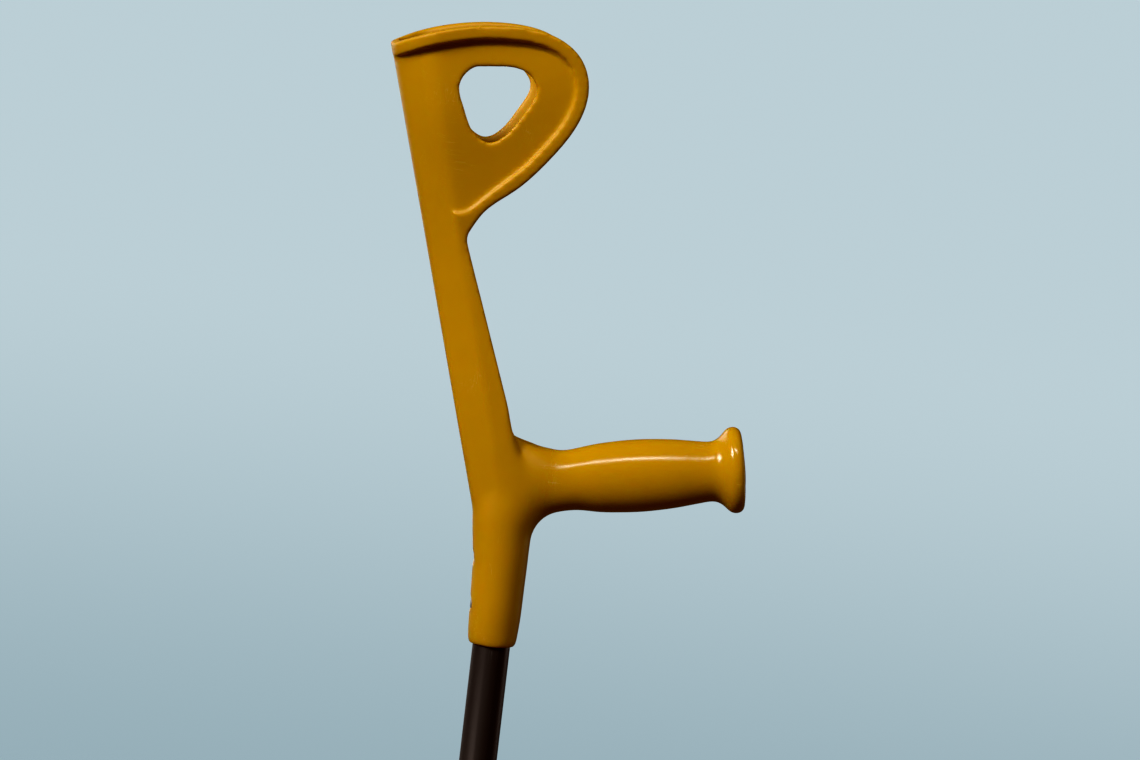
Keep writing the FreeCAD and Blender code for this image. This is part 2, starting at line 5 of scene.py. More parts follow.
import bpy
from bpy.props import FloatProperty, FloatVectorProperty, IntProperty, PointerProperty
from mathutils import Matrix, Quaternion, Vector


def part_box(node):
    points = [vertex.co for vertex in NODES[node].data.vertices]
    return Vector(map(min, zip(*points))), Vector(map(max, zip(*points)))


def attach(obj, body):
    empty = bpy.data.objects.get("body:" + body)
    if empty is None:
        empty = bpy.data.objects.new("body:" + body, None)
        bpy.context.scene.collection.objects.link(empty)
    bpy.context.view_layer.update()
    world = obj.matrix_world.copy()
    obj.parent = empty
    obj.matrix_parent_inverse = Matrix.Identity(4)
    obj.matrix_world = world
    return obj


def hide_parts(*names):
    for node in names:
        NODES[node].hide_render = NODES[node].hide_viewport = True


bl_info = {
    "name": "Forearm Crutch",
    "version": (1, 0, 0),
    "blender": (4, 5, 0),
    "location": "View3D > Sidebar > Crutch",
    "description": "Moulded handle, anodised shaft, lock and ferrule of a forearm crutch, on a pale floor",
    "category": "Object",
}

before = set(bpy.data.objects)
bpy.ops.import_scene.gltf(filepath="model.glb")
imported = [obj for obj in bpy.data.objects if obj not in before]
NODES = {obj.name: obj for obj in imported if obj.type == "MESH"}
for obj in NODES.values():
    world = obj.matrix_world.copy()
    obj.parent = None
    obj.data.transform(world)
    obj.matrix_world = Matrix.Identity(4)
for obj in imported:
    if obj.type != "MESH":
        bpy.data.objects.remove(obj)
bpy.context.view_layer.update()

SOCKET_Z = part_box("handle_moulding")[0].z     # lower end of the handle's socket
UPPER_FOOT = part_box("upper_tube")[0].z
LOWER_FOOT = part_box("lower_tube")[0].z
LOWER_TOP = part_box("lower_tube")[1].z
MM = 0.001

# Bands of the moulding, each from where a change begins to where it is complete. Heights are above the
# socket's lower end, and the others are forward of the shaft axis unless they say otherwise.
HUB_FOOT = (0.060, 0.080)               # height at which the rounding of the hub sets in
HUB_TOP = (0.120, 0.150)                # height over which it dies away
HUB_FRONT = (0.030, 0.050)              # where it dies away along the grip
HUB_SKIN = (12.5 * MM, 14.5 * MM)       # distance from the shaft axis, so that the socket's bore is spared
BACK_EDGE = (-0.010, -0.003)            # from the column's ridge to the side in front of it
BACK_FOOT = (0.098, 0.114)              # height at which the column's back begins
RIDGE_FOOT = (0.070, 0.090)             # height at which the column's ridge begins
RIDGE_TOP = (0.195, 0.215)              # height at which it runs into the cuff
ROOT_TOP = (0.12, 0.15)                 # height of the root between column and grip
SOCKET_END = (5.0 * MM, 14.0 * MM)      # height of the socket's rounded end
GRIP_START = (0.008, 0.028)             # where the hand's polish sets in along the grip
GRIP_CLEAR = (0.13, 0.16)               # height over which that polish dies away
MERGE_DISTANCE = 1e-6

# Other places
RUBBED_FOOT = 0.12                      # about the collar's lowest place, above the lower tube's end
RUBBED_FADE = 0.02                      # over which the rubbing sets in and dies away
HOLE_CHIP = (0.25 * MM, 0.75 * MM)      # worn ring outside a lock hole's edge
DUST_HEIGHT = 0.016                     # reach of the dust above the sole
PLASTIC_GLOW = (1.0, 0.36, 0.08)        # how far red, green and blue light travel in the yellow plastic

# Stretches of a pattern: a number under 1 draws it out along that axis
HAIR_UP_HANDLE = (1.0, 1.0, 0.06)
HAIR_ALONG_GRIP = (0.05, 1.0, 1.0)
DRAWN_TUBE = (1.0, 1.0, 0.012)
BROAD_TUBE = (1.0, 1.0, 0.3)
HAIR_UP_TUBE = (1.0, 1.0, 0.03)
RINGS_ROUND_TUBE = (0.03, 0.03, 1.0)
RUBBED_TUBE = (1.0, 1.0, 0.008)
HAIR_ON_PLASTIC = (1.0, 1.0, 0.1)
SCUFFS_ROUND_SOLE = (0.2, 0.2, 1.0)
MARKS_ALONG_X = (0.1, 1.0, 1.0)
MARKS_ALONG_Y = (1.0, 0.1, 1.0)
MARKS_ALONG_Z = (1.0, 1.0, 0.05)

# The stage. Each light's way points from what it lights to the light.
HUB_FORWARD = 0.03
HUB_UP = 0.19                           # above the socket's lower end
SHAFT_SHARE = 0.32                      # share of the socket's height at which the lower shaft is lit
KEY = {"way": (-0.71, -0.49, 0.50), "distance": 2.4, "size": (1.0, 0.85), "colour": (1.0, 0.97, 0.92)}
STRIP = {"way": (-0.06, -0.66, 0.75), "distance": 1.7, "size": (0.9, 0.17), "colour": (1.0, 0.99, 0.94)}
SHAFT = {"way": (-0.75, -0.6, 0.25), "distance": 2.2, "size": (0.3, 0.3), "colour": (1.0, 0.98, 0.95)}
BACK = {"way": (-0.55, 0.8, 0.35), "distance": 3.0, "size": (1.8, 1.8), "colour": (1.0, 0.97, 0.93)}
SIDE = {"way": (0.9, 0.42, 0.2), "distance": 2.8, "size": (1.2, 1.8), "colour": (1.0, 0.97, 0.93)}
WORLD_LIGHT = (0.95, 0.6, 0.48)
WORLD_STRENGTH = 0.065
# Across this band the backdrop is painted darker towards the floor: painted shade, as if less light fell on
# it there.
BACKDROP_BAND = (-0.24, -0.09)          # upward part of the view's direction, from the low colour to the high
FLOOR_RADIUS = 3.2
FLOOR_SIDES = 96
FLOOR_FADE = (1.1, 3.0)                 # distance over which the floor melts into the backdrop
BLACK_LEVEL = 0.007
SENSOR_WIDTH = 36.0
NEAR_CLIP = 0.05
FAR_CLIP = 60.0


# ------------------------------------------------------------------ shader writing
class Wire:
    """One output of a node, which Python's own operators work on."""

    def __init__(self, finish, socket):
        self.finish = finish
        self.socket = socket

    def _math(self, operation, first, second=0.0):
        return self.finish.node("ShaderNodeMath", {"operation": operation}, {0: first, 1: second})

    def __add__(self, other):
        return self._math("ADD", self, other)

    def __radd__(self, other):
        return self._math("ADD", other, self)

    def __sub__(self, other):
        return self._math("SUBTRACT", self, other)

    def __rsub__(self, other):
        return self._math("SUBTRACT", other, self)

    def __mul__(self, other):
        return self._math("MULTIPLY", self, other)

    def __rmul__(self, other):
        return self._math("MULTIPLY", other, self)

    def abs(self):
        """This value without its sign."""
        return self._math("ABSOLUTE", self)

    def root(self):
        """The square root of this value."""
        return self._math("SQRT", self)

    def part(self, axis):
        """One of a vector's three numbers."""
        return self.finish.node("ShaderNodeSeparateXYZ", {}, {0: self}, axis)

    def stretched(self, x, y, z):
        """A vector scaled by a different amount along each axis."""
        return self.finish.node("ShaderNodeVectorMath", {"operation": "MULTIPLY"}, {0: self, 1: (x, y, z)})

    def between(self, low, high, to_low=0.0, to_high=1.0):
        """This value taken from one range to another, with smooth ends."""
        settings = {"interpolation_type": "SMOOTHSTEP", "clamp": True}
        values = {0: self, 1: low, 2: high, 3: to_low, 4: to_high}
        return self.finish.node("ShaderNodeMapRange", settings, values)

    def until(self, low, high):
        """1 where this value is below low, 0 where it is above high."""
        return self.between(low, high, 1.0, 0.0)


class Finish:
    """A material under construction, with one Principled surface."""

    def __init__(self, name):
        self.material = bpy.data.materials.new(name)
        self.material.use_nodes = True
        self.tree = self.material.node_tree
        self.tree.nodes.clear()
        self.surface = self.tree.nodes.new("ShaderNodeBsdfPrincipled")
        output = self.tree.nodes.new("ShaderNodeOutputMaterial")
        self.tree.links.new(self.surface.outputs[0], output.inputs[0])
        self.place = self.node("ShaderNodeTexCoord", {}, {}, "Object")

    def node(self, kind, settings, values, out=0):
        """Adds a node: its settings first, then its sockets' values or links."""
        made = self.tree.nodes.new(kind)
        for key, value in settings.items():
            setattr(made, key, value)
        for key, value in values.items():
            if isinstance(value, Wire):
                self.tree.links.new(value.socket, made.inputs[key])
            else:
                made.inputs[key].default_value = value
        return Wire(self, made.outputs[out])

    def noise(self, scale, detail=2.0, roughness=0.5, place=None, distortion=0.0):
        """A soft random value from 0 to 1, with features of about 1 / scale metres."""
        values = {"Vector": place or self.place, "Scale": scale, "Detail": detail, "Roughness": roughness,
                  "Distortion": distortion}
        return self.node("ShaderNodeTexNoise", {}, values)

    def scratches(self, scale, stretch, width):
        """Thin straight marks: a noise drawn out along one axis, of which only the middle values are kept."""
        field = self.noise(scale, 3.0, 0.6, self.place.stretched(*stretch))
        return (field - 0.5).abs().until(0.0, width)

    def patches(self, scale, low, high):
        """The places where marks show, as a mask."""
        return self.noise(scale, 2.0).between(low, high)

    def tint(self, mask, first, second):
        """first where mask is 0, second where it is 1. Either may be a colour or a wire."""
        values = {0: mask}
        for key, colour in ((6, first), (7, second)):
            values[key] = colour if isinstance(colour, Wire) else (*colour[:3], 1.0)
        return self.node("ShaderNodeMix", {"data_type": "RGBA"}, values, 2)

    def bump(self, height, depth, strength=1.0, under=None):
        """A relief of that depth, laid over the normal under it where there is one."""
        values = {"Height": height, "Distance": depth, "Strength": strength}
        if under:
            values["Normal"] = under
        return self.node("ShaderNodeBump", {}, values)

    def set(self, **sockets):
        """Sets the surface's sockets; an underscore stands for a space."""
        for key, value in sockets.items():
            socket = self.surface.inputs[key.replace("_", " ")]
            if isinstance(value, Wire):
                self.tree.links.new(value.socket, socket)
            elif socket.type == "RGBA":
                socket.default_value = (*value[:3], 1.0)
            else:
                socket.default_value = value


def darker(colour, share):
    """A colour with each of its parts multiplied by share."""
    return tuple(part * share for part in colour[:3])


# ------------------------------------------------------------------ finishes
# A finish's seed shifts the scale of its patterns, so that like pieces don't repeat each other.
def golden_moulding(name, settings, seed):
    """Glossy golden-yellow moulded plastic, polished where the hand holds it."""
    f = Finish(name)
    colour = settings.plastic_colour
    flow = f.noise(7.0 + seed, 3.0, 0.55, distortion=0.6).between(0.35, 0.7)
    cloud = f.noise(42.0 + seed, 2.0, 0.5).between(0.3, 0.75)
    upright = f.scratches(260.0, HAIR_UP_HANDLE, 0.012) * f.patches(30.0 + seed, 0.5, 0.7)
    level = f.scratches(210.0, HAIR_ALONG_GRIP, 0.010) * f.patches(24.0 + seed, 0.52, 0.7)
    marks = upright + level
    below_column = f.place.part(2).until(SOCKET_Z + GRIP_CLEAR[0], SOCKET_Z + GRIP_CLEAR[1])
    held = f.place.part(0).between(*GRIP_START) * below_column
    base = f.tint(flow * 0.5, colour, darker(colour, 0.88))
    base = f.tint(cloud * 0.18, base, darker(colour, 0.8))
    base = f.tint(marks * 0.22, base, settings.scratch_colour)
    rough = settings.plastic_roughness + cloud * 0.07 + marks * 0.12 - held * settings.hand_polish
    peel = f.noise(230.0, 2.0, 0.5)
    grain = f.noise(1700.0, 1.0, 0.5)
    normal = f.bump(peel, 0.035 * MM)
    normal = f.bump(grain - marks * 0.6, 0.012 * MM, 1.0, normal)
    f.set(Base_Color=base, Roughness=rough, Normal=normal, IOR=1.49)
    f.set(Subsurface_Weight=settings.plastic_depth, Subsurface_Radius=PLASTIC_GLOW, Subsurface_Scale=3.0 * MM)
    return f.material


def hole_chips(f, settings):
    """A mask of the chipped ring round each lock hole."""
    first = UPPER_FOOT + settings.first_hole
    pitch = settings.hole_pitch
    radius = settings.hole_radius
    low = first - pitch / 2
    high = first + (settings.hole_count - 0.5) * pitch
    across = f.place.part(0)
    up = f.place.part(2)
    cell = f.node("ShaderNodeMath", {"operation": "PINGPONG"}, {0: (up - first).abs(), 1: pitch / 2})
    distance = (across * across + cell * cell).root()
    inside = up.between(low, low + 0.1 * MM) * up.until(high, high + 0.1 * MM)
    chipped = f.noise(900.0, 2.0).between(0.3, 0.6, 0.25, 1.0)
    return distance.until(radius + HOLE_CHIP[0], radius + HOLE_CHIP[1]) * inside * chipped


def slide_marks(f):
    """A mask of the fine lines that the guide collar leaves on the lower tube."""
    up = f.place.part(2)
    low = LOWER_FOOT + RUBBED_FOOT
    reach = up.between(low, low + RUBBED_FADE) * up.until(LOWER_TOP - RUBBED_FADE, LOWER_TOP)
    rubbed = f.scratches(420.0, RUBBED_TUBE, 0.03) * f.patches(60.0, 0.4, 0.7)
    return reach * rubbed


def anodised(name, settings, seed, holes=False, slides=False):
    """Black-brown anodised tube, drawn along its length, worn round its holes or where it slides."""
    f = Finish(name)
    colour = settings.tube_colour
    drawn = f.noise(520.0, 3.0, 0.6, f.place.stretched(*DRAWN_TUBE))
    broad = f.noise(28.0 + seed, 3.0, 0.6, f.place.stretched(*BROAD_TUBE)).between(0.35, 0.7)
    hair = f.scratches(330.0, HAIR_UP_TUBE, 0.010) * f.patches(16.0 + seed, 0.52, 0.68)
    rings = f.scratches(300.0, RINGS_ROUND_TUBE, 0.008) * f.patches(21.0 + seed, 0.58, 0.74)
    worn = hair * 0.35 + rings * 0.25
    if holes:
        worn = worn + hole_chips(f, settings) * 0.8
    if slides:
        worn = worn + slide_marks(f) * 0.35
    base = f.tint(broad * 0.4, colour, darker(colour, 0.75))
    base = f.tint(worn, base, settings.bare_colour)
    rough = settings.tube_roughness + drawn * 0.12 + broad * 0.08 - worn * 0.05
    normal = f.bump(drawn, 0.01 * MM)
    normal = f.bump(1.0 - worn, 0.01 * MM, 1.0, normal)
    f.set(Base_Color=base, Roughness=rough, Normal=normal, Metallic=0.85)
    return f.material


def black_plastic(name, settings, seed):
    """Fine-textured black plastic."""
    f = Finish(name)
    colour = settings.plastic_colour
    spark = f.noise(2600.0, 2.0, 0.6)
    cloud = f.noise(60.0 + seed, 3.0, 0.6).between(0.35, 0.7)
    marks = f.scratches(300.0, HAIR_ON_PLASTIC, 0.012) * f.patches(45.0 + seed, 0.5, 0.66)
    base = f.tint(cloud * 0.4, colour, darker(colour, 0.7))
    base = f.tint(marks * 0.3, base, settings.scratch_colour)
    normal = f.bump(spark, 0.03 * MM)
    f.set(Base_Color=base, Roughness=0.52 + cloud * 0.12 - marks * 0.1, Normal=normal, IOR=1.5)
    return f.material


def ferrule_rubber(name, settings):
    """Matt rubber that is dusty and scuffed towards its sole."""
    f = Finish(name)
    colour = settings.rubber_colour
    cloud = f.noise(55.0, 4.0, 0.65).between(0.35, 0.7)
    fine = f.noise(700.0, 3.0, 0.6)
    low = f.place.part(2).until(0.0, DUST_HEIGHT)
    scuff = f.scratches(160.0, SCUFFS_ROUND_SOLE, 0.03) * f.patches(70.0, 0.45, 0.65)
    dusty = (low * 0.5 + 0.12) * cloud + scuff * low * 0.5
    base = f.tint(cloud * 0.5, colour, darker(colour, 0.7))
    base = f.tint(dusty, base, settings.dust_colour)
    normal = f.bump(fine, 0.05 * MM)
    normal = f.bump(cloud, 0.06 * MM, 0.6, normal)
    f.set(Base_Color=base, Roughness=0.72 + dusty * 0.2, Normal=normal, IOR=1.5, Specular_IOR_Level=0.35)
    return f.material


def bright_metal(name, colour, roughness, stretch, seed):
    """Plain metal with turning or rolling marks drawn out along one axis."""
    f = Finish(name)
    lines = f.noise(900.0, 3.0, 0.6, f.place.stretched(*stretch))
    cloud = f.noise(90.0 + seed, 3.0, 0.6).between(0.35, 0.7)
    base = f.tint(cloud * 0.35, colour, darker(colour, 0.75))
    normal = f.bump(lines, 0.008 * MM)
    f.set(Base_Color=base, Roughness=roughness + lines * 0.14 + cloud * 0.06, Normal=normal, Metallic=1.0)
    return f.material


# ------------------------------------------------------------------ settings
class CrutchHandleSettings(bpy.types.PropertyGroup):
    plastic_colour: FloatVectorProperty(
        name="Plastic colour", description="Golden yellow of the moulding and its end cap", subtype="COLOR",
        size=3, min=0.0, max=1.0, default=(0.68, 0.37, 0.002))
    scratch_colour: FloatVectorProperty(
        name="Scratch colour", description="Pale yellow of fine scratches", subtype="COLOR", size=3, min=0.0,
        max=1.0, default=(0.9, 0.72, 0.35))
    plastic_roughness: FloatProperty(
        name="Roughness", description="Roughness of the moulding before wear", default=0.45, min=0.0, max=1.0,
        subtype="FACTOR")
    hand_polish: FloatProperty(
        name="Hand polish", description="How much smoother the grip is than the rest", default=0.29, min=0.0,
        max=1.0, subtype="FACTOR")
    plastic_depth: FloatProperty(
        name="Depth", description="How much light travels inside the plastic", default=0.25, min=0.0, max=1.0,
        subtype="FACTOR")
    voxel: FloatProperty(
        name="Mesh step", description="Step of the mesh that the moulding is remade with", default=0.85 * MM,
        unit="LENGTH")
    ridge_rounds: IntProperty(
        name="Ridge rounding", description="Smoothing passes over the whole moulding, ridge included",
        default=6, min=0)
    edge_rounds: IntProperty(
        name="Edge rounding", description="Further passes over all but the column's ridge", default=14, min=0)
    hub_rounds: IntProperty(
        name="Hub rounding", description="Further passes where column, grip and socket meet", default=110,
        min=0)
    end_rounds: IntProperty(
        name="Socket end rounding", description="Further passes over the socket's lower end", default=150,
        min=0)
    end_reach: FloatProperty(
        name="Socket end reach", description="How far the end is drawn down before it is rounded",
        default=5.0 * MM, unit="LENGTH")
    triangles: IntProperty(
        name="Triangles", description="Most triangles in the moulding", default=180000, min=1000)


class CrutchShaftSettings(bpy.types.PropertyGroup):
    tube_colour: FloatVectorProperty(
        name="Tube colour", description="Anodised colour of both tubes", subtype="COLOR", size=3, min=0.0,
        max=1.0, default=(0.15, 0.125, 0.115))
    tube_roughness: FloatProperty(
        name="Roughness", description="Roughness of the tubes before wear", default=0.34, min=0.0, max=1.0,
        subtype="FACTOR")
    bare_colour: FloatVectorProperty(
        name="Bare metal", description="Aluminium where the anodising is worn", subtype="COLOR", size=3,
        min=0.0, max=1.0, default=(0.55, 0.54, 0.53))
    first_hole: FloatProperty(
        name="First hole", description="Lowest lock hole above the upper tube's end", default=0.060,
        unit="LENGTH")
    hole_pitch: FloatProperty(
        name="Hole pitch", description="Distance between lock holes", default=0.020, unit="LENGTH")
    hole_radius: FloatProperty(
        name="Hole radius", description="Radius of a lock hole", default=3.35 * MM, unit="LENGTH")
    hole_count: IntProperty(name="Holes", description="Number of lock holes on each side", default=13, min=1)


class CrutchFittingSettings(bpy.types.PropertyGroup):
    plastic_colour: FloatVectorProperty(
        name="Black plastic", description="Colour of the guide collar and the glide plug", subtype="COLOR",
        size=3, min=0.0, max=1.0, default=(0.022, 0.022, 0.023))
    scratch_colour: FloatVectorProperty(
        name="Scratch colour", description="Grey of scratches on the black plastic", subtype="COLOR", size=3,
        min=0.0, max=1.0, default=(0.3, 0.3, 0.3))
    rivet_colour: FloatVectorProperty(
        name="Rivets", description="Colour of the aluminium rivets", subtype="COLOR", size=3, min=0.0,
        max=1.0, default=(0.62, 0.61, 0.60))
    steel_colour: FloatVectorProperty(
        name="Steel", description="Colour of the lock buttons, and of the spring before it is darkened",
        subtype="COLOR", size=3, min=0.0, max=1.0, default=(0.56, 0.55, 0.54))
    washer_colour: FloatVectorProperty(
        name="Washer", description="Colour of the steel washer in the ferrule", subtype="COLOR", size=3,
        min=0.0, max=1.0, default=(0.5, 0.5, 0.5))


class CrutchFootSettings(bpy.types.PropertyGroup):
    rubber_colour: FloatVectorProperty(
        name="Rubber colour", description="Colour of the clean rubber", subtype="COLOR", size=3, min=0.0,
        max=1.0, default=(0.028, 0.028, 0.030))
    dust_colour: FloatVectorProperty(
        name="Dust colour", description="Colour of the dust and scuffs", subtype="COLOR", size=3, min=0.0,
        max=1.0, default=(0.20, 0.19, 0.175))


class CrutchStageSettings(bpy.types.PropertyGroup):
    backdrop_colour: FloatVectorProperty(
        name="Backdrop", description="Pale blue of the backdrop", subtype="COLOR", size=3, min=0.0, max=1.0,
        default=(0.40, 0.475, 0.505))
    # Painted shade: the backdrop's low colour is painted darker than its high colour, as if less light fell
    # on it near the floor. The floor glows in the same colour.
    shaded_low_colour: FloatVectorProperty(
        name="Low backdrop", description="Backdrop where it meets the floor, and the floor's own glow",
        subtype="COLOR", size=3, min=0.0, max=1.0, default=(0.27, 0.35, 0.385))
    floor_colour: FloatVectorProperty(
        name="Floor", description="Colour of the floor where it is lit", subtype="COLOR", size=3, min=0.0,
        max=1.0, default=(0.22, 0.275, 0.29))
    floor_glow: FloatProperty(
        name="Floor glow", description="Strength of the floor's own glow", default=0.9, min=0.0)
    lean: FloatProperty(
        name="Lean", description="Roll of the camera, which makes the shaft lean", default=math.radians(6.75),
        subtype="ANGLE")
    turn: FloatProperty(
        name="Turn", description="Camera's angle round the crutch from square to its side",
        default=math.radians(-4.4), subtype="ANGLE")
    height: FloatProperty(
        name="Height", description="Camera's angle above the horizon", default=math.radians(6.4),
        subtype="ANGLE")
    distance: FloatProperty(
        name="Distance", description="Camera to crutch", default=2.2, unit="LENGTH")
    frame_width: FloatProperty(
        name="Frame width", description="Width that the camera takes in at the crutch", default=0.6614,
        unit="LENGTH")
    aim_forward: FloatProperty(
        name="Aim forward", description="Point aimed at, forward of the shaft axis", default=0.0275,
        unit="LENGTH")
    aim_up: FloatProperty(
        name="Aim up", description="Point aimed at, above the socket's lower end", default=0.1563,
        unit="LENGTH")
    key_power: FloatProperty(
        name="Key light", description="Power of the light on cuff, column and hub", default=1.9, min=0.0)
    key_spread: FloatProperty(
        name="Key spread", description="How wide the key light's beam opens", default=math.radians(34),
        subtype="ANGLE")
    strip_power: FloatProperty(
        name="Strip light", description="Power of the long light over the grip", default=6.5, min=0.0)
    shaft_power: FloatProperty(
        name="Shaft light", description="Power of the light on the lower shaft", default=1.2, min=0.0)
    shaft_spread: FloatProperty(
        name="Shaft spread", description="How wide the shaft light's beam opens", default=math.radians(20),
        subtype="ANGLE")
    back_power: FloatProperty(
        name="Back light", description="Power of the broad light behind the crutch", default=14.0, min=0.0)
    side_power: FloatProperty(
        name="Side light", description="Power of the light beyond the grip's end", default=2.8, min=0.0)


class CrutchSettings(bpy.types.PropertyGroup):
    handle: PointerProperty(type=CrutchHandleSettings)
    shaft: PointerProperty(type=CrutchShaftSettings)
    fittings: PointerProperty(type=CrutchFittingSettings)
    foot: PointerProperty(type=CrutchFootSettings)
    stage: PointerProperty(type=CrutchStageSettings)


# ------------------------------------------------------------------ helpers for the pieces
def only(obj):
    """Selects one object and makes it active."""
    bpy.ops.object.select_all(action="DESELECT")
    obj.select_set(True)
    bpy.context.view_layer.objects.active = obj


def dress(obj, material):
    """Gives an object one material in place of those it has."""
    obj.data.materials.clear()
    obj.data.materials.append(material)


def apply_modifier(obj, kind, **settings):
    """Adds a modifier with these settings and applies it."""
    only(obj)
    modifier = obj.modifiers.new(kind.title(), kind)
    for key, value in settings.items():
        setattr(modifier, key, value)
    bpy.ops.object.modifier_apply(modifier=modifier.name)


def merged_copy(node, name):
    """A copy of a CAD node's mesh as a new object, with its triangles joined."""
    obj = bpy.data.objects.new(name, NODES[node].data.copy())
    bpy.context.scene.collection.objects.link(obj)
    obj.data.name = name
    only(obj)
    bpy.ops.object.mode_set(mode="EDIT")
    bpy.ops.mesh.select_all(action="SELECT")
    bpy.ops.mesh.remove_doubles(threshold=MERGE_DISTANCE)
    bpy.ops.object.mode_set(mode="OBJECT")
    return obj


def weigh(obj, name, weight_of):
    """Gives obj a vertex group whose weights come from each vertex's place."""
    group = obj.vertex_groups.new(name=name)
    for vertex in obj.data.vertices:
        weight = weight_of(vertex.co)
        if weight > 0.0:
            group.add([vertex.index], weight, "REPLACE")


def fade(value, low, high):
    """0 below low, 1 above high, with smooth ends."""
    t = max(0.0, min(1.0, (value - low) / (high - low)))
    return t * t * (3 - 2 * t)


def in_hub(place):
    """How far a place belongs to the outside of the hub. The column's back and ridge are left out."""
    up = place.z - SOCKET_Z
    outside = fade(math.hypot(place.x, place.y), *HUB_SKIN)
    along = fade(up, *HUB_FOOT) * (1 - fade(up, *HUB_TOP))
    beside = max(fade(place.x, *BACK_EDGE), 1 - fade(up, *BACK_FOOT))
    return outside * along * beside * (1 - fade(place.x, *HUB_FRONT))


def off_ridge(place):
    """How far a place is clear of the column's ridge, whose edges stay crisper."""
    up = place.z - SOCKET_Z
    column = fade(up, *RIDGE_FOOT) * (1 - fade(up, *RIDGE_TOP))
    root = fade(place.x, *BACK_EDGE) * (1 - fade(up, *ROOT_TOP))
    return 1 - column * (1 - root)


def in_socket_end(place):
    """How far a place belongs to the socket's lower end."""
    return 1 - fade(place.z - SOCKET_Z, *SOCKET_END)


# ------------------------------------------------------------------ pieces
class CRUTCH_OT_handle(bpy.types.Operator):
    """Makes the one-piece moulded handle with its soft edges"""
    bl_idname = "crutch.handle"
    bl_label = "Moulded handle"

    def execute(self, context):
        s = context.scene.crutch.handle
        handle = merged_copy("handle_moulding", "moulded_handle")
        apply_modifier(handle, "REMESH", mode="VOXEL", voxel_size=s.voxel, use_smooth_shade=True)
        weigh(handle, "hub", in_hub)
        weigh(handle, "off ridge", off_ridge)
        weigh(handle, "socket end", in_socket_end)
        apply_modifier(handle, "DISPLACE", direction="Z", strength=-s.end_reach, mid_level=0.0,
                       vertex_group="socket end")
        apply_modifier(handle, "SMOOTH", factor=0.5, iterations=s.ridge_rounds)
        further = (("off ridge", s.edge_rounds), ("hub", s.hub_rounds), ("socket end", s.end_rounds))
        for group, rounds in further:
            apply_modifier(handle, "SMOOTH", factor=0.5, iterations=rounds, vertex_group=group)
        whole = sum(len(face.vertices) - 2 for face in handle.data.polygons)
        if whole > s.triangles:
            apply_modifier(handle, "DECIMATE", ratio=s.triangles / whole)
        dress(handle, golden_moulding("golden moulding", s, 0.0))
        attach(handle, "upper_shaft")
        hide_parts("handle_moulding")
        return {"FINISHED"}


class CRUTCH_OT_grip_cap(bpy.types.Operator):
    """Finishes the cap in the end of the hand grip"""
    bl_idname = "crutch.grip_cap"
    bl_label = "Grip end cap"

    def execute(self, context):
        dress(NODES["grip_end_cap"], golden_moulding("golden cap", context.scene.crutch.handle, 3.0))
        return {"FINISHED"}


class CRUTCH_OT_tubes(bpy.types.Operator):
    """Finishes the two anodised tubes"""
    bl_idname = "crutch.tubes"
    bl_label = "Tubes"

    def execute(self, context):
        s = context.scene.crutch.shaft
        dress(NODES["upper_tube"], anodised("anodised upper tube", s, 0.0, holes=True))
        dress(NODES["lower_tube"], anodised("anodised lower tube", s, 5.0, slides=True))
        return {"FINISHED"}


class CRUTCH_OT_fittings(bpy.types.Operator):
    """Finishes the guide collar, the glide plug and the rivets"""
    bl_idname = "crutch.fittings"
    bl_label = "Collar, plug and rivets"

    def execute(self, context):
        s = context.scene.crutch.fittings
        dress(NODES["guide_collar"], black_plastic("collar plastic", s, 0.0))
        dress(NODES["glide_plug"], black_plastic("plug plastic", s, 4.0))
        rivet = bright_metal("rivet aluminium", s.rivet_colour, 0.3, MARKS_ALONG_X, 0.0)
        dress(NODES["socket_rivets"], rivet)
        return {"FINISHED"}


class CRUTCH_OT_lock(bpy.types.Operator):
    """Finishes the lock buttons and their leaf spring"""
    bl_idname = "crutch.lock"
    bl_label = "Push-button lock"

    def execute(self, context):
        steel = context.scene.crutch.fittings.steel_colour
        for side in ("right", "left"):
            button = bright_metal("button steel " + side, steel, 0.22, MARKS_ALONG_Y, 2.0)
            dress(NODES["lock_button_" + side], button)
        spring = bright_metal("spring steel", darker(steel, 0.8), 0.34, MARKS_ALONG_Z, 6.0)
        dress(NODES["button_spring"], spring)
        return {"FINISHED"}


class CRUTCH_OT_ferrule(bpy.types.Operator):
    """Finishes the rubber ferrule and the washer in it"""
    bl_idname = "crutch.ferrule"
    bl_label = "Ferrule"

    def execute(self, context):
        settings = context.scene.crutch
        dress(NODES["ferrule"], ferrule_rubber("ferrule rubber", settings.foot))
        washer = bright_metal("washer steel", settings.fittings.washer_colour, 0.38, MARKS_ALONG_Y, 8.0)
        dress(NODES["ferrule_washer"], washer)
        return {"FINISHED"}


# ------------------------------------------------------------------ stage
def add_light(name, aim, kind, power, spread=math.pi):
    """A soft rectangular light, standing off from aim in the direction of its way and turned to it."""
    light = bpy.data.lights.new(name, "AREA")
    light.shape = "RECTANGLE"
    light.size, light.size_y = kind["size"]
    light.energy = power
    light.color = kind["colour"]
    light.spread = spread
    obj = bpy.data.objects.new(name, light)
    bpy.context.scene.collection.objects.link(obj)
    way = Vector(kind["way"]).normalized()
    obj.location = aim + way * kind["distance"]
    obj.rotation_euler = (-way).to_track_quat("-Z", "Y").to_euler()
    obj.visible_camera = False


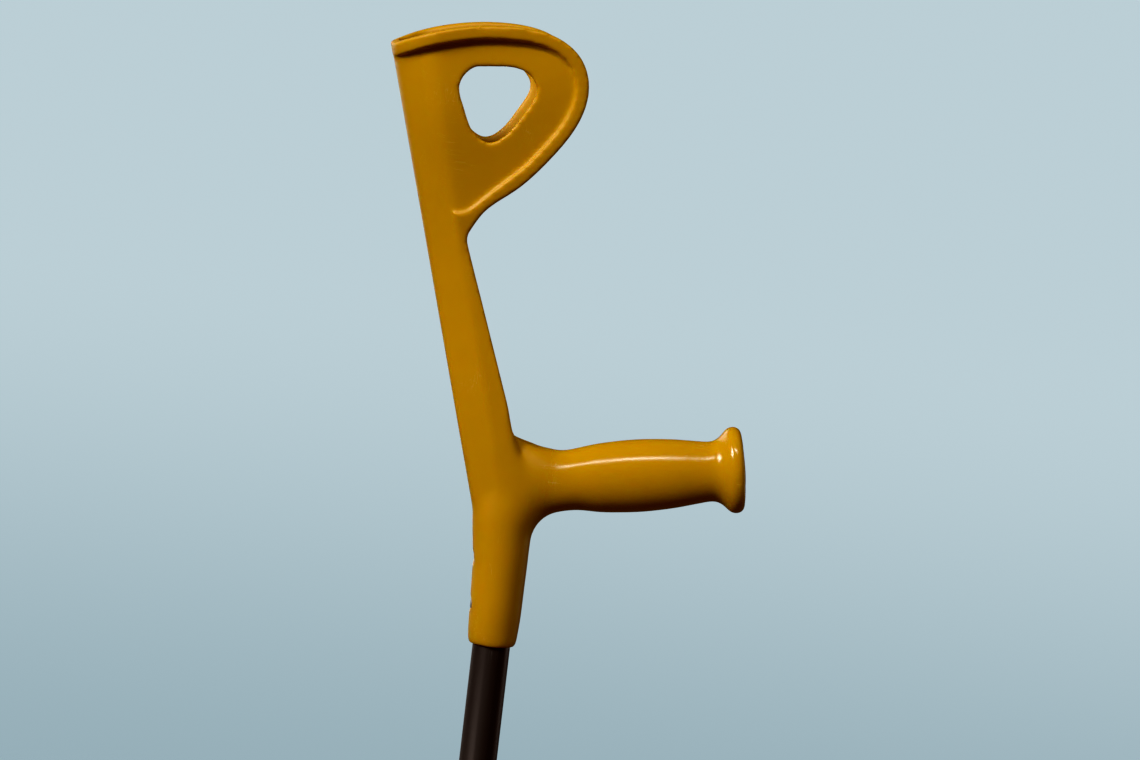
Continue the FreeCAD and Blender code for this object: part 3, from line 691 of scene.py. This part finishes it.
class CRUTCH_OT_stage(bpy.types.Operator):
    """Sets up the floor, the backdrop, the lights and the camera"""
    bl_idname = "crutch.stage"
    bl_label = "Stage"

    def execute(self, context):
        s = context.scene.crutch.stage
        aim = Vector((s.aim_forward, 0.0, SOCKET_Z + s.aim_up))
        hub = Vector((HUB_FORWARD, 0.0, SOCKET_Z + HUB_UP))
        shaft = Vector((0.0, 0.0, SOCKET_Z * SHAFT_SHARE))
        self.floor(s)
        self.backdrop(context.scene, s)
        add_light("key light", hub, KEY, s.key_power, s.key_spread)
        add_light("strip light", aim, STRIP, s.strip_power)
        add_light("shaft light", shaft, SHAFT, s.shaft_power, s.shaft_spread)
        add_light("back light", shaft, BACK, s.back_power)
        add_light("side light", shaft, SIDE, s.side_power)
        self.camera(context.scene, s, aim)
        view = context.scene.view_settings
        view.view_transform = "Standard"
        view.look = "High Contrast"
        view.use_curve_mapping = True
        view.curve_mapping.black_level = (BLACK_LEVEL, BLACK_LEVEL, BLACK_LEVEL)
        return {"FINISHED"}

    def floor(self, s):
        """A round floor that glows like the backdrop, takes shadows and melts away at its edge."""
        bpy.ops.object.select_all(action="DESELECT")
        bpy.ops.mesh.primitive_circle_add(vertices=FLOOR_SIDES, radius=FLOOR_RADIUS, fill_type="TRIFAN",
                                          location=(0, 0, 0))
        floor = bpy.context.view_layer.objects.active
        floor.name = "studio_floor"
        f = Finish("pale floor")
        radius = f.node("ShaderNodeVectorMath", {"operation": "LENGTH"}, {0: f.place}, "Value")
        cloud = f.noise(1.3, 2.0)
        base = f.tint(cloud * 0.15, s.floor_colour, darker(s.floor_colour, 0.9))
        f.set(Base_Color=base, Roughness=0.65, Alpha=radius.until(*FLOOR_FADE))
        # The floor glows in the backdrop's painted-shade colour, so that the two meet without a seam.
        f.set(Emission_Color=s.shaded_low_colour, Emission_Strength=s.floor_glow)
        dress(floor, f.material)
        floor.visible_diffuse = False
        floor.visible_glossy = False

    def backdrop(self, scene, s):
        """A world that shows as the pale backdrop, with painted shade towards the floor, and lights the
        crutch only a little.
        """
        world = bpy.data.worlds.new("pale backdrop")
        scene.world = world
        world.use_nodes = True
        tree = world.node_tree
        tree.nodes.clear()
        way = tree.nodes.new("ShaderNodeTexCoord")
        parts = tree.nodes.new("ShaderNodeSeparateXYZ")
        share = tree.nodes.new("ShaderNodeMapRange")
        share.interpolation_type = "SMOOTHSTEP"
        share.inputs[1].default_value = BACKDROP_BAND[0]
        share.inputs[2].default_value = BACKDROP_BAND[1]
        blend = tree.nodes.new("ShaderNodeMix")
        blend.data_type = "RGBA"
        # painted shade: the backdrop turns to the darker low colour towards the floor
        blend.inputs[6].default_value = (*s.shaded_low_colour, 1.0)
        blend.inputs[7].default_value = (*s.backdrop_colour, 1.0)
        shown = tree.nodes.new("ShaderNodeBackground")
        lighting = tree.nodes.new("ShaderNodeBackground")
        lighting.inputs[0].default_value = (*WORLD_LIGHT, 1.0)
        lighting.inputs[1].default_value = WORLD_STRENGTH
        path = tree.nodes.new("ShaderNodeLightPath")
        mix = tree.nodes.new("ShaderNodeMixShader")
        output = tree.nodes.new("ShaderNodeOutputWorld")
        tree.links.new(way.outputs["Generated"], parts.inputs[0])
        tree.links.new(parts.outputs[2], share.inputs[0])
        tree.links.new(share.outputs[0], blend.inputs[0])
        tree.links.new(blend.outputs[2], shown.inputs[0])
        tree.links.new(path.outputs["Is Camera Ray"], mix.inputs[0])
        tree.links.new(lighting.outputs[0], mix.inputs[1])
        tree.links.new(shown.outputs[0], mix.inputs[2])
        tree.links.new(mix.outputs[0], output.inputs[0])

    def camera(self, scene, s, aim):
        """A camera that looks at aim, with its roll giving the crutch its lean."""
        data = bpy.data.cameras.new("camera")
        camera = bpy.data.objects.new("camera", data)
        scene.collection.objects.link(camera)
        data.sensor_width = SENSOR_WIDTH
        data.lens = SENSOR_WIDTH * s.distance / s.frame_width
        data.clip_start = NEAR_CLIP
        data.clip_end = FAR_CLIP
        level = math.cos(s.height)
        back = Vector((math.sin(s.turn) * level, -math.cos(s.turn) * level, math.sin(s.height)))
        camera.location = aim + back * s.distance
        camera.rotation_mode = "QUATERNION"
        square = (-back).to_track_quat("-Z", "Y")
        camera.rotation_quaternion = square @ Quaternion((0.0, 0.0, 1.0), s.lean)
        scene.camera = camera


# ------------------------------------------------------------------ add-on
PIECES = (CRUTCH_OT_handle, CRUTCH_OT_grip_cap, CRUTCH_OT_tubes, CRUTCH_OT_fittings, CRUTCH_OT_lock,
          CRUTCH_OT_ferrule, CRUTCH_OT_stage)


class CRUTCH_PT_panel(bpy.types.Panel):
    """Lists the crutch's pieces and their settings"""
    bl_idname = "CRUTCH_PT_panel"
    bl_label = "Forearm Crutch"
    bl_space_type = "VIEW_3D"
    bl_region_type = "UI"
    bl_category = "Crutch"

    def draw(self, context):
        for piece in PIECES:
            self.layout.operator(piece.bl_idname)
        for name in CrutchSettings.__annotations__:
            group = getattr(context.scene.crutch, name)
            box = self.layout.box()
            box.label(text=name.capitalize())
            for key in group.__annotations__:
                box.prop(group, key)


CLASSES = (CrutchHandleSettings, CrutchShaftSettings, CrutchFittingSettings, CrutchFootSettings,
           CrutchStageSettings, CrutchSettings, *PIECES, CRUTCH_PT_panel)


def register():
    for cls in CLASSES:
        bpy.utils.register_class(cls)
    bpy.types.Scene.crutch = PointerProperty(type=CrutchSettings)


def unregister():
    del bpy.types.Scene.crutch
    for cls in reversed(CLASSES):
        bpy.utils.unregister_class(cls)


def main():
    register()
    bpy.ops.crutch.handle()
    bpy.ops.crutch.grip_cap()
    bpy.ops.crutch.tubes()
    bpy.ops.crutch.fittings()
    bpy.ops.crutch.lock()
    bpy.ops.crutch.ferrule()
    bpy.ops.crutch.stage()


if __name__ == "__main__":
    main()
